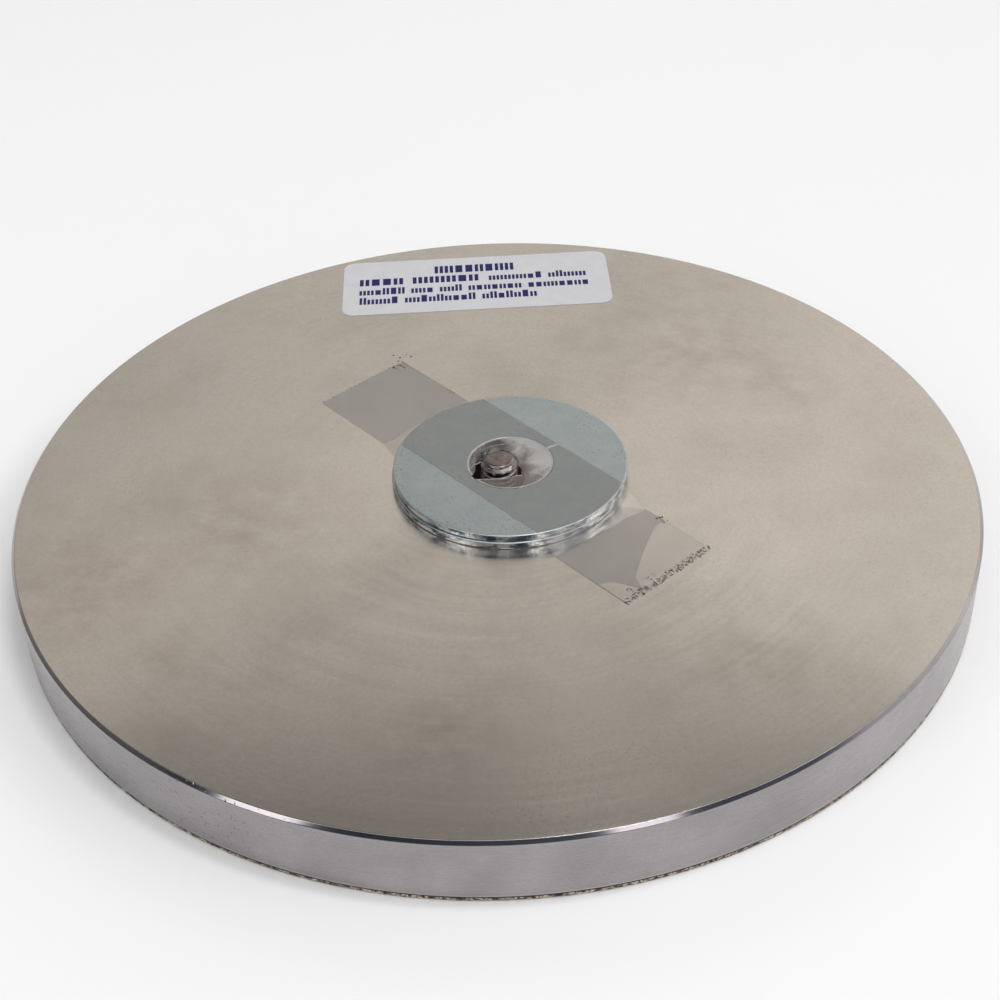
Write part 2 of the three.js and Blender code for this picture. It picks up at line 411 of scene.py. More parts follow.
def grit_look():
    """Diamond grit in sintered bronze: brown on the lumps, with painted shade between them, and bright
    crystal faces.
    """
    look = Look("diamond_grit")
    lump = look.attribute("lump")
    crystals = look.cells(look.object, 2600, "Color")
    facet, tone, _ = look.split(crystals)
    edges = look.cells(look.object, 2600)
    grain = look.noise(look.object, 1500, 3, 0.6)
    bond = look.mix(look.span(grain, 0.42, 0.6), (0.12, 0.085, 0.065, 1), (0.66, 0.54, 0.44, 1))
    # Painted shade: the colour goes near black down between the lumps, where the lump height is low, broken
    # up by the grain.
    cover = look.math("MULTIPLY_ADD", grain, 0.8, look.math("MULTIPLY_ADD", lump, 0.5, -0.4))
    color = look.mix(look.span(cover, 0.05, 0.3), (0.035, 0.025, 0.02, 1), bond)
    bright = look.math("MULTIPLY", look.span(facet, 0.8, 0.84), look.span(lump, 0.2, 0.5))
    stone = look.mix(tone, (0.75, 0.7, 0.58, 1), (0.5, 0.52, 0.46, 1))
    color = look.mix(bright, color, stone)
    height = look.math("SUBTRACT", look.math("MULTIPLY", facet, 0.7), edges)
    look.set(
        Base_Color=color,
        Metallic=look.span(bright, 0, 1, 0.55, 0.1),
        Roughness=look.span(bright, 0, 1, 0.5, 0.12),
        Normal=look.bump(height, 0.12 * MM),
    )
    return look.material


def zinc_look(name, centre, outer):
    """Bright zinc plate: bluish, cloudy, scratched, with dark specks that crowd at the outer edge."""
    look = Look(name, Metallic=1.0)
    clouds = look.noise(look.object, 150, 4, 0.55, 0.4)
    spangle = look.noise(look.object, 1100, 3, 0.65)
    x, y, z = look.split(look.object)
    slanted = look.join(look.math("MULTIPLY", x, 260), look.math("MULTIPLY", y, 4200), z)
    scratches = look.span(look.noise(slanted, 1.0, 2, 0.5, 0.2), 0.64, 0.72)
    radius, _ = look.round_z(centre)
    crowd = look.span(radius, outer - 6 * MM, outer, 0.0, 0.14)
    wanted = look.span(look.math("ADD", look.noise(look.object, 170, 3), crowd), 0.52, 0.66)
    speck = look.math("MULTIPLY", look.span(look.cells(look.object, 1500), 0.1, 0.32, 1, 0), wanted)
    color = look.mix(look.span(clouds, 0.35, 0.68), (0.37, 0.44, 0.455, 1), (0.46, 0.515, 0.51, 1))
    color = look.mix(look.span(spangle, 0.45, 0.75, 0, 0.35), color, (0.58, 0.6, 0.57, 1))
    color = look.mix(look.math("MULTIPLY", speck, 0.7), color, (0.1, 0.1, 0.1, 1))
    color = look.mix(look.math("MULTIPLY", scratches, 0.2), color, grey(0.7))
    duller = look.span(spangle, 0.4, 0.7, 0, 0.05)
    roughness = look.math("ADD", look.span(clouds, 0.3, 0.7, 0.27, 0.36), duller)
    heights = look.math("SUBTRACT", look.math("MULTIPLY", spangle, 0.5), speck)
    look.set(Base_Color=color, Roughness=roughness, Normal=look.bump(heights, 0.006 * MM))
    return look.material


def punched_edge_reflection_look(name, centre):
    """A washer's wall: painted reflections in broad patches round it, near white and dark navy, with darker
    upright streaks where the steel tore.
    """
    look = Look(name, Metallic=1.0)
    _, (cosine, sine) = look.round_z(centre)
    _, _, z = look.split(look.object)
    level = look.math("MULTIPLY", z, 500)

    def around(turns):
        return look.join(look.math("MULTIPLY", cosine, turns), look.math("MULTIPLY", sine, turns), level)

    patches = look.noise(around(6), 1.0, 3, 0.6)
    streaks = look.noise(around(110), 1.0, 3, 0.6)
    # Painted reflection: broad patches round the wall, from dark navy to near white.
    color = look.mix(look.span(patches, 0.44, 0.56), (0.09, 0.1, 0.15, 1), (0.82, 0.84, 0.86, 1))
    color = look.mix(look.span(streaks, 0.45, 0.7, 0, 0.6), color, (0.16, 0.17, 0.19, 1))
    look.set(
        Base_Color=color,
        Roughness=look.span(streaks, 0.3, 0.7, 0.14, 0.3),
        Normal=look.bump(streaks, 0.03 * MM),
    )
    return look.material


def bolt_look():
    """Turned stainless steel, brownish, with tool rings on its flat ends."""
    look = Look("bolt_steel", Metallic=1.0)
    radius, direction = look.round_z(BOLT_CENTRE[:2])
    rings = look.noise(look.rings(radius, direction, 2600, 0.9), 1.0, 2)
    stains = look.noise(look.object, 500, 4, 0.6)
    color = look.mix(look.span(stains, 0.35, 0.7), (0.27, 0.235, 0.22, 1), (0.16, 0.135, 0.128, 1))
    color = look.mix(look.span(rings, 0.4, 0.65, 0, 0.5), color, (0.09, 0.075, 0.07, 1))
    look.set(
        Base_Color=color,
        Roughness=look.span(stains, 0.3, 0.7, 0.16, 0.3),
        Normal=look.bump(rings, 0.03 * MM),
    )
    return look.material


def label_look():
    """Semi-gloss white paper, faintly mottled and fibrous."""
    look = Look("label_paper", Coat_Weight=0.25, Coat_Roughness=0.3)
    mottle = look.noise(look.object, 260, 4, 0.55)
    fibres = look.noise(look.object, 2500, 2)
    color = look.mix(look.span(mottle, 0.3, 0.7), (0.54, 0.54, 0.565, 1), (0.585, 0.583, 0.605, 1))
    look.set(
        Base_Color=color,
        Roughness=look.span(fibres, 0.3, 0.7, 0.42, 0.52),
        Normal=look.bump(fibres, 0.004 * MM),
    )
    return look.material


def ink_look():
    look = Look("label_ink", Specular_IOR_Level=0.25)
    wear = look.noise(look.object, 1800, 3, 0.6)
    color = look.mix(look.span(wear, 0.45, 0.8), (0.004, 0.004, 0.085, 1), (0.02, 0.02, 0.13, 1))
    look.set(Base_Color=color, Roughness=look.span(wear, 0.3, 0.7, 0.5, 0.6))
    return look.material


def film_look(name, color, alpha, roughness, haze):
    """Clear tape. The haze is how far faint streaks of adhesive change its colour."""
    look = Look(name, Alpha=alpha, Coat_Weight=0.3, Coat_Roughness=0.12)
    streaks = look.noise(look.object, 140, 4, 0.6, 0.8)
    specks = look.span(look.cells(look.object, 420), 0.05, 0.1, 1, 0)
    dusty = look.math("MULTIPLY", specks, look.span(look.noise(look.object, 90, 1), 0.5, 0.6))
    lighter = tuple(min(1.0, part * (1 + haze)) for part in color)
    tint = look.mix(look.span(streaks, 0.35, 0.7), (*color, 1), (*lighter, 1))
    tint = look.mix(dusty, tint, grey(0.75))
    look.set(
        Base_Color=tint,
        Roughness=look.span(streaks, 0.3, 0.7, roughness, roughness + 0.08),
        Normal=look.bump(streaks, 0.02 * MM),
    )
    return look.material


def film_in_hole_look():
    """The film that sags into the washers' hole: a dark brown painted shade in front of the bolt, and a
    lighter painted reflection to its right.
    """
    look = Look("film_in_hole", Alpha=0.46, Coat_Weight=0.3, Coat_Roughness=0.1)
    x, y, _ = look.split(look.object)
    swirl = look.noise(look.object, 260, 3, 0.5, 0.8)
    sway = look.span(swirl, 0.3, 0.7, -2 * MM, 2 * MM)
    # Painted light: the colour goes from a dark brown painted shade in front of the bolt to a pale painted
    # reflection on its right.
    shade_to_reflection = look.math("ADD", look.math("MULTIPLY_ADD", y, 0.5, x), sway)
    color = look.mix(look.span(shade_to_reflection, 5.5 * MM, 10 * MM), (0.15, 0.125, 0.112, 1), (0.62, 0.6, 0.585, 1))
    look.set(
        Base_Color=color,
        Roughness=look.span(swirl, 0.3, 0.7, 0.16, 0.26),
        Normal=look.bump(swirl, 0.25 * MM),
    )
    return look.material


def residue_look():
    look = Look("residue", Specular_IOR_Level=0.1)
    grain = look.noise(look.object, 3000, 3)
    color = look.mix(look.span(grain, 0.35, 0.7), (0.035, 0.026, 0.02, 1), (0.1, 0.08, 0.062, 1))
    look.set(Base_Color=color, Roughness=look.span(grain, 0.3, 0.7, 0.5, 0.8))
    return look.material


def floor_look():
    look = Look("studio_floor")
    paper = look.noise(look.object, 3, 2)
    look.set(Base_Color=look.mix(paper, grey(0.9), grey(0.93)), Roughness=0.7)
    return look.material


# --- Wheel


def make_plate():
    break_edge = 0.2 * MM
    profile = rounded([
        (BORE_RADIUS, RECESS_CEILING, break_edge),
        (RECESS_RADIUS, RECESS_CEILING, 0.8 * MM),
        (RECESS_RADIUS, PLATE_BOTTOM, break_edge),
        (WHEEL_RADIUS, PLATE_BOTTOM, break_edge),
        (WHEEL_RADIUS, WHEEL_TOP - RIM_CHAMFER, 0.4 * MM),
        (WHEEL_RADIUS - RIM_CHAMFER, WHEEL_TOP, 0.18 * MM),
        (BORE_RADIUS, WHEEL_TOP, break_edge),
    ])
    mesh = turned("plate", profile, 384)
    for look in (turned_face_look(), rim_look(), recess_look()):
        mesh.materials.append(look)
    for face in mesh.polygons:
        radius = face.center.xy.length
        if radius > WHEEL_RADIUS - RIM_CHAMFER - 0.05 * MM:
            face.material_index = 1
        elif radius < RECESS_RADIUS + 0.5 * MM and face.center.z < WHEEL_TOP - 0.1 * MM:
            face.material_index = 2
    return add_object("plate", mesh, "wheel", "backing_plate")


def lump_height(point):
    """From 0 between lumps of grit to 1 on top of them, at a place on the diamond layer."""
    near, _ = noise.voronoi(point / (1.2 * MM))
    rough = noise.noise(point / (0.6 * MM))
    return max(0.0, min(1.0, 1.2 - 1.5 * near[0] + 0.4 * rough))


def make_diamond_layer():
    """A ring with lumps of grit on its outer wall and underside, and fewer points round its inner part."""
    wall_relief, face_relief = 0.12 * MM, 0.35 * MM
    spacing = 0.75 * MM
    many, few = 960, 480  # bridge() takes a ring to one of as many points or of half as many
    change_radius = WHEEL_RADIUS / 2
    wall = WHEEL_RADIUS - wall_relief
    steps = 1 + round((wall - DIAMOND_INNER_RADIUS) / spacing)
    rings = [(wall - wall_relief, DIAMOND_TOP, 0, 0)]
    rings += [(wall, level, 1, 0) for level in np.linspace(DIAMOND_TOP - 0.02 * MM, 0.3 * MM, 5)]
    rings += [(radius, face_relief, 0, 1) for radius in np.linspace(wall, DIAMOND_INNER_RADIUS, steps)]
    rings += [(DIAMOND_INNER_RADIUS, DIAMOND_TOP, 0, 0)]
    points, lumps, numbers, faces = [], [], [], []
    for radius, height, outward, downward in rings:
        count = many if radius > change_radius else few
        numbers.append(range(len(points), len(points) + count))
        for step in range(count):
            angle = math.tau * step / count
            spoke = Vector((math.cos(angle), math.sin(angle), 0))
            place = spoke * radius + Vector((0, 0, height))
            lump = lump_height(place) if outward or downward else 0.0
            out, down = lump * wall_relief * outward, lump * face_relief * downward
            points.append(place + spoke * out - Vector((0, 0, down)))
            lumps.append(lump)
    for first, second in zip(numbers, numbers[1:] + numbers[:1]):
        faces += bridge(first, second)
    mesh = mesh_of("diamond", points, faces)
    paint(mesh, "lump", lumps)
    mesh.materials.append(grit_look())
    return add_object("diamond_grit", mesh, "wheel", "diamond_layer")


def make_bond_layer():
    """The adhesive between the plate and the diamond layer, squeezed out unevenly round the rim."""
    wall = WHEEL_RADIUS - 0.08 * MM
    profile = rounded([
        (DIAMOND_INNER_RADIUS, DIAMOND_TOP, 0.02 * MM),
        (wall, DIAMOND_TOP, 0.05 * MM),
        (wall, PLATE_BOTTOM, 0.05 * MM),
        (DIAMOND_INNER_RADIUS, PLATE_BOTTOM, 0.02 * MM),
    ], steps=2, guard=0.02 * MM)
    mesh = turned("bond", profile, 900)
    for vertex in mesh.vertices:
        spoke = vertex.co.xy
        if spoke.length > WHEEL_RADIUS - MM:
            squeeze = 0.07 * MM * noise.noise(vertex.co / (1.6 * MM))
            vertex.co.xy = spoke * (1 + squeeze / spoke.length)
    mesh.materials.append(bond_look())
    return add_object("bond_line", mesh, "wheel", "bond_layer")


# --- Label


def rounded_rectangle(half_width, half_height, radius, steps=8):
    """The outline's points, anticlockwise."""
    points = []
    for quarter, (right, up) in enumerate(((1, 1), (-1, 1), (-1, -1), (1, -1))):
        centre = Vector((right * (half_width - radius), up * (half_height - radius)))
        for step in range(steps + 1):
            angle = (quarter + step / steps) * math.pi / 2
            points.append(centre + radius * Vector((math.cos(angle), math.sin(angle))))
    return points


def slab(points, faces, outline, low, high, bevel):
    """Adds a flat slab with a bevelled top to the lists of points and faces."""
    middle = sum(outline, Vector((0, 0))) / len(outline)
    levels = ((low, 0), (high - bevel, 0), (high, bevel))
    start, count = len(points), len(outline)
    for height, inset in levels:
        for point in outline:
            inward = (middle - point).normalized() * inset
            points.append((*(point + inward), height))
    for level in range(len(levels) - 1):
        for i in range(count):
            a, b = start + level * count + i, start + level * count + (i + 1) % count
            faces.append((a, b, b + count, a + count))
    faces.append(tuple(range(start + count - 1, start - 1, -1)))
    faces.append(tuple(range(start + 2 * count, start + 3 * count)))


def label_place():
    """Where the label's own middle and turn are on the plate."""
    low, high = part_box("label")
    middle = (low + high) / 2
    return Matrix.Translation((middle.x, middle.y, WHEEL_TOP)) @ Matrix.Rotation(LABEL_TURN, 4, "Z")


def make_label():
    points, faces = [], []
    outline = rounded_rectangle(LABEL_SIZE.x / 2, LABEL_SIZE.y / 2, LABEL_CORNER_RADIUS)
    slab(points, faces, outline, LABEL_LIFT, LABEL_TOP, 0.02 * MM)
    mesh = mesh_of("label", points, faces)
    mesh.transform(label_place())
    mesh.materials.append(label_look())
    sticker = add_object("label_sticker", mesh, "wheel", "label")
    sticker.data.set_sharp_from_angle(angle=math.radians(30))
    return sticker


# Each line of print: its foot and its height across the label, where it starts and ends along it, how tall
# its smaller marks are beside its taller ones, and how many marks each of its groups has.
PRINT_LINES = (
    (5.5 * MM, 3.5 * MM, -10.4 * MM, 10.0 * MM, 1.0, (8,)),
    (1.0 * MM, 3.1 * MM, -29.3 * MM, 1.0 * MM, 1.0, (4, 6)),
    (0.9 * MM, 3.0 * MM, 3.2 * MM, 27.9 * MM, 0.72, (7, 5)),
    (-3.5 * MM, 3.1 * MM, -29.3 * MM, 28.3 * MM, 0.72, (6, 3, 3, 7, 8)),
    (-7.9 * MM, 3.2 * MM, -29.2 * MM, 15.1 * MM, 0.72, (5, 9, 7)),
)
GROUP_GAP = 0.7
PRINT_LOW, PRINT_TOP, PRINT_BEVEL = 0.078 * MM, 0.09 * MM, 0.002 * MM

# A mark is one or two upright blocks: where each starts, and how wide it is, in shares of a mark's room. The
# two-block mark is there twice, to be drawn twice as often.
TWO_BLOCKS = ((0.02, 0.34), (0.52, 0.34))
MARKS = (TWO_BLOCKS, TWO_BLOCKS, ((0.08, 0.7),))


def make_print():
    """Rows of plain blocks where the label has lines of print."""
    chance = random.Random(5)
    points, faces = [], []
    for foot, height, start, end, small, groups in PRINT_LINES:
        pitch = (end - start) / (sum(groups) + GROUP_GAP * (len(groups) - 1))
        left = start
        for group in groups:
            for _ in range(group):
                top = foot + height * chance.choice((small, small, 1.0))
                for shift, width in chance.choice(MARKS):
                    low = left + pitch * shift
                    right = low + pitch * width
                    corners = ((low, foot), (right, foot), (right, top), (low, top))
                    outline = [Vector(corner) for corner in corners]
                    slab(points, faces, outline, PRINT_LOW, PRINT_TOP, PRINT_BEVEL)
                left += pitch
            left += pitch * GROUP_GAP
    mesh = mesh_of("print", points, faces)
    mesh.transform(label_place())
    mesh.materials.append(ink_look())
    marks = add_object("label_print", mesh, "wheel")
    marks.data.set_sharp_from_angle(angle=math.radians(30))
    return marks


# --- Washers and bolt


def make_washer(name, node, body, hole_radius, sides):
    """A punched washer, with its edges rolled over, and least of all at the foot of its hole."""
    low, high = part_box(node)
    centre = (low + high) / 2
    outer = (high.x - low.x) / 2
    profile = rounded([
        (hole_radius, low.z, 0.12 * MM),
        (outer, low.z, 0.32 * MM),
        (outer, high.z, 0.32 * MM),
        (hole_radius, high.z, 0.25 * MM),
    ])
    mesh = turned(name, profile, sides, centre.xy)
    mesh.materials.append(zinc_look(name + "_zinc", centre.xy, outer))
    mesh.materials.append(punched_edge_reflection_look(name + "_edge", centre.xy))
    for face in mesh.polygons:
        face.material_index = abs(face.normal.z) < 0.5
    return add_object(name, mesh, body, node)


def thread_radius(angle, height):
    """The thread's radius at a turn and height: a 60 degree form with a flat root and crest, fading out under
    the head and chamfered at the tip."""
    root, flank = 0.14, 0.68  # their shares of half a pitch
    phase = (height / THREAD_PITCH - angle / math.tau) % 1.0
    rise = min(1.0, max(0.0, (abs(2 * phase - 1) - root) / flank))
    depth = THREAD_DEPTH * (1 - rise)
    runout = min(1.0, max(0.0, (height - HEAD_TOP) / (1.5 * THREAD_PITCH)))
    point = BOLT_TIP_RADIUS + (BOLT_TIP - height)
    return min(THREAD_RADIUS - depth * runout, point)


def hexagon_radius(angle, across_flats):
    sixth = math.pi / 3
    return across_flats / 2 / math.cos((angle + sixth / 2) % sixth - sixth / 2)


def head_ring(angle, share):
    """(radius, height) down the head's side: share 0 is its top edge, and 1 is where the cone cuts it."""
    radius = hexagon_radius(angle, HEAD_ACROSS_FLATS)
    cut = HEAD_BOTTOM + max(0.0, radius - HEAD_FACE_RADIUS) * math.tan(HEAD_CONE)
    return radius, HEAD_TOP + (cut - HEAD_TOP) * share


def bolt_rings(angle):
    """Each ring's (radius, height) at an angle, from the tip's middle to the head's."""
    fillet = 0.3 * MM
    face_radius, face_height = 0.46 * HEAD_ACROSS_FLATS, 0.25 * MM
    corner = hexagon_radius(angle, HEAD_ACROSS_FLATS) - 0.08 * MM
    rings = [(BOLT_TIP_RADIUS * share, BOLT_TIP) for share in (0.02, 0.3, 0.6, 0.85, 0.97)]
    for height in np.arange(BOLT_TIP - 0.03 * MM, HEAD_TOP + 0.4 * MM, -THREAD_PITCH / 12).tolist():
        rings.append((thread_radius(angle, height), height))
    rings += [(THREAD_RADIUS + fillet * share, HEAD_TOP + fillet * (1 - share)) for share in (0.0, 0.5, 1.0)]
    rings.append((face_radius, HEAD_TOP))
    rings.append((face_radius + 0.02 * MM, HEAD_TOP - face_height))
    rings.append((corner, HEAD_TOP - face_height - 0.02 * MM))
    rings += [head_ring(angle, share) for share in (0.075, 0.1, 0.9, 0.98, 1.0)]
    for radius in (HEAD_FACE_RADIUS, HEAD_FACE_RADIUS - 0.15 * MM, 0.6 * HEAD_FACE_RADIUS):
        rings.append((radius, HEAD_BOTTOM))
    return rings


def make_bolt():
    sides = 96
    angles = [math.tau * side / sides for side in range(sides)]
    points, faces, numbers = [], [], []
    for ring in zip(*(bolt_rings(angle) for angle in angles)):
        numbers.append(range(len(points), len(points) + sides))
        for angle, (radius, height) in zip(angles, ring):
            x, y = BOLT_CENTRE.xy + radius * Vector((math.cos(angle), math.sin(angle)))
            points.append((x, y, height))
    for first, second in zip(numbers, numbers[1:]):
        faces += bridge(first, second)
    faces.append(tuple(numbers[0]))
    faces.append(tuple(reversed(numbers[-1])))
    mesh = mesh_of("bolt", points, faces)
    mesh.materials.append(bolt_look())
    bolt = add_object("hex_bolt", mesh, "bolt", "mounting_bolt")
    bolt.data.set_sharp_from_angle(angle=math.radians(40))
    return bolt


# --- Tape. Its outlines are worked out in its own plan frame, in millimetres.

SPACER_LOW, SPACER_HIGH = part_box("spacer_washer_upper")
SPACER_RADIUS = (SPACER_HIGH.x - SPACER_LOW.x) / 2
SPACER_CENTRE = (SPACER_LOW.xy + SPACER_HIGH.xy) / 2

# The torn hole round the bolt, in plan, in millimetres from the wheel's axis.
TEAR = (
    (-4.3, -4.6), (4.7, -3.4), (5.6, -1.5), (5.4, 1.5), (4.2, 4.2),
    (2.0, 6.4), (-1.0, 6.2), (-3.0, 4.6), (-3.9, 2.0), (-4.1, -1.5),
)

# A narrow stripe across the film on the washers, from the edge of their hole to the edge of the tape, painted
# lighter as the highlight of a crease; the film itself lies flat there.
CREASE_HIGHLIGHT = [(52.3, 21.5), (52.8, 21.5), (53.5, 24.7), (52.9, 24.7)]

# Where the right-hand end is stuck down: up to this line, and beyond it the film lies loose.
STUCK_EDGE = (
    (85.7, 26.0), (85.5, 24.0), (84.6, 22.1), (86.4, 18.1), (89.1, 13.2), (91.4, 9.5), (93.1, 7.0),
    (95.4, 5.9), (96.1, 5.1), (94.9, 4.6), (92.2, 3.4), (90.0, 1.6), (89.4, -1.0),
)
BEYOND_STUCK_EDGE = [(120, 40), *STUCK_EDGE, (120, -40)]


def to_plan(along, across):
    return TAPE_CORNER + Matrix.Rotation(TAPE_TURN, 2) @ Vector((along, across))


def to_tape(plan):
    return Matrix.Rotation(-TAPE_TURN, 2) @ (Vector(plan) - TAPE_CORNER)


SPACER_ON_TAPE = to_tape(SPACER_CENTRE / MM)


def smooth_line(points, closed, steps):
    """Points along a Catmull-Rom curve through the given ones."""
    count = len(points)

    def at(i):
        return Vector(points[i % count] if closed else points[min(max(i, 0), count - 1)])

    line = []
    for i in range(count if closed else count - 1):
        a, b, c, d = (at(i + k) for k in (-1, 0, 1, 2))
        for step in range(steps):
            t = step / steps
            squared, cubed = 2 * a - 5 * b + 4 * c - d, 3 * b - a - 3 * c + d
            line.append(0.5 * (2 * b + (c - a) * t + squared * t**2 + cubed * t**3))
    return line if closed else line + [at(count - 1)]


def serrated_end(along, depth, start, end):
    """The zigzag that a dispenser's blade leaves, from one edge of the tape to the other."""
    teeth = 19
    pitch = (end - start) / teeth
    chance = random.Random(round(along))
    points = []
    for tooth in range(teeth):
        across = start + pitch * tooth
        points.append(Vector((along, across)))
        points.append(Vector((along + depth * chance.uniform(0.6, 1.0), across + pitch / 2)))
    return points


def film_outline():
    right = serrated_end(TAPE_LENGTH, -0.7, 0, TAPE_WIDTH)
    left = serrated_end(0, 0.6, TAPE_WIDTH, 0)
    return right + left


def circle(centre, radius, steps):
    return [
        Vector(centre) + radius * Vector((math.cos(math.tau * i / steps), math.sin(math.tau * i / steps)))
        for i in range(steps)
    ]


def left_stuck_line(across):
    """How far along the tape its left part is stuck down, before it climbs on to the spacers."""
    return 22.7 + 0.35 * math.sin(across * 0.5) + 1.6 * max(0.0, (across - 18) / (TAPE_WIDTH - 18))


def right_stuck_line(across):
    """How far along the tape it comes down on the plate again, beyond the spacers."""
    return 77.0 + 2.4 * across / TAPE_WIDTH + 0.25 * math.sin(across * 0.9)


def inside(point, outline):
    """Whether a plan point is inside a closed outline."""
    hit = False
    for (ax, ay), (bx, by) in zip(outline, outline[1:] + outline[:1]):
        if (ay > point[1]) != (by > point[1]) and point[0] < ax + (bx - ax) * (point[1] - ay) / (by - ay):
            hit = not hit
    return hit


def tent_share(along, across):
    """How far up from the plate to the spacers' top the film is, from 0 to 1, outside the spacers."""
    reach = math.sqrt(max(0.0, (SPACER_RADIUS / MM) ** 2 - (across - SPACER_ON_TAPE.y) ** 2))
    if along < SPACER_ON_TAPE.x:
        foot, edge = left_stuck_line(across), SPACER_ON_TAPE.x - reach
    else:
        foot, edge = right_stuck_line(across), SPACER_ON_TAPE.x + reach
    return min(1.0, max(0.0, (along - foot) / (edge - foot)))


def film_height(along, across):
    """How high the film's underside lies, in metres."""
    from_spacer = (Vector((along, across)) - SPACER_ON_TAPE).length
    low, high = WHEEL_TOP + FILM_GAP, SPACER_TOP + FILM_GAP
    if from_spacer > SPACER_RADIUS / MM:
        share = tent_share(along, across)
        flutter = 0.12 * MM * noise.noise(Vector((along * 0.22, across * 0.5, 3.1)))
        return low + (high - low) * share + flutter * 4 * share * (1 - share)
    hole = SPACER_HOLE_RADIUS / MM
    if from_spacer > hole:
        return high
    dip = 1 - (from_spacer / hole) ** 2
    angle = math.atan2(across - SPACER_ON_TAPE.y, along - SPACER_ON_TAPE.x)
    pucker = math.sin(5 * angle + 0.8) * 0.14 + math.sin(9 * angle + from_spacer * 0.5) * 0.05
    return high - MM * dip * (0.75 + pucker * 2.0)


def film_zone(along, across):
    """Which of the film's materials a place has."""
    if not EDGE_BAND < across < TAPE_WIDTH - EDGE_BAND:
        return "edge"
    from_spacer = (Vector((along, across)) - SPACER_ON_TAPE).length * MM
    # Painted highlight: a lighter band where the film bends, along the tear's straight edge, round the rim of
    # the washers' hole and on the crease.
    if from_spacer < SPACER_HOLE_RADIUS - HOLE_INSET * MM:
        at_straight_edge = inside((along, across), TEAR_LIP) and to_plan(along, across).y < TEAR[1][1] + 0.4
        return "bend_highlight" if at_straight_edge else "in_hole"
    if from_spacer < SPACER_HOLE_RADIUS or inside((along, across), CREASE_HIGHLIGHT):
        return "bend_highlight"
    if from_spacer < SPACER_RADIUS - RIM_INSET * MM:
        return "on_steel"
    if along < left_stuck_line(across):
        return "on_plate"
    if along < right_stuck_line(across):
        return "tent"
    return "loose" if inside((along, across), BEYOND_STUCK_EDGE) else "on_plate"


def tear_outline():
    """The tear's outline on the tape: smooth, but for the straight edge it starts with."""
    steps = 6
    outline = smooth_line([to_tape(point) for point in TEAR], True, steps)
    straight = [outline[0].lerp(outline[steps], i / steps) for i in range(steps)]
    return straight + outline[steps:]


TEAR_EDGE = tear_outline()
TEAR_MIDDLE = sum(TEAR_EDGE, Vector((0, 0))) / len(TEAR_EDGE)
# A band 0.35 mm wide round the tear; along its straight part the film gets the painted highlight.
TEAR_LIP = [point + (point - TEAR_MIDDLE).normalized() * 0.35 for point in TEAR_EDGE]


def film_points(outlines):
    """Inner points on a fine staggered grid, kept clear of the outlines' own."""
    step = 0.9
    fixed = np.array([tuple(point) for outline in outlines for point in outline])
    kept = []
    for row in range(1, int(TAPE_WIDTH / step) + 1):
        for column in range(1, int(TAPE_LENGTH / step) + 1):
            point = np.array([(column + 0.5 * (row % 2)) * step, row * step * 0.97])
            if point[0] < TAPE_LENGTH and point[1] < TAPE_WIDTH and np.abs(fixed - point).sum(1).min() > 0.5:
                kept.append(Vector(point))
    return kept


def film_mesh():
    """The film's points, its triangles, which follow every border on it, and the zone of each."""
    samples = [TAPE_WIDTH * i / 40 for i in range(-1, 42)]
    outlines = [
        film_outline(),
        TEAR_EDGE,
        TEAR_LIP,
        circle(SPACER_ON_TAPE, SPACER_HOLE_RADIUS / MM, 72),
        circle(SPACER_ON_TAPE, SPACER_HOLE_RADIUS / MM - HOLE_INSET, 72),
        [Vector(point) for point in CREASE_HIGHLIGHT],
        circle(SPACER_ON_TAPE, SPACER_RADIUS / MM - RIM_INSET, 180),
        [Vector((left_stuck_line(across), across)) for across in samples],
        [Vector((right_stuck_line(across), across)) for across in samples],
        smooth_line(STUCK_EDGE, False, 5),
        [Vector((along, EDGE_BAND)) for along in range(-1, TAPE_LENGTH + 2)],
        [Vector((along, TAPE_WIDTH - EDGE_BAND)) for along in range(-1, TAPE_LENGTH + 2)],
    ]
    closed = [True] * 7 + [False] * 5
    points, edges = [], []
    for outline, is_closed in zip(outlines, closed):
        start, count = len(points), len(outline)
        points += outline
        edges += [(start + i, start + (i + 1) % count) for i in range(count if is_closed else count - 1)]
    points += film_points(outlines)
    found, _, faces, *_ = geometry.delaunay_2d_cdt(points, edges, [], 0, 1e-5)
    border = film_outline()
    kept = []
    for face in faces:
        middle = sum((found[i] for i in face), Vector((0, 0))) / len(face)
        if inside(middle, border) and not inside(middle, TEAR_EDGE):
            kept.append((face, film_zone(*middle)))
    used = sorted({i for face, _ in kept for i in face})
    number = {old: new for new, old in enumerate(used)}
    places = []
    for i in used:
        plan = to_plan(*found[i]) * MM
        places.append((plan.x, plan.y, film_height(*found[i])))
    return places, [[number[i] for i in face] for face, _ in kept], [zone for _, zone in kept]


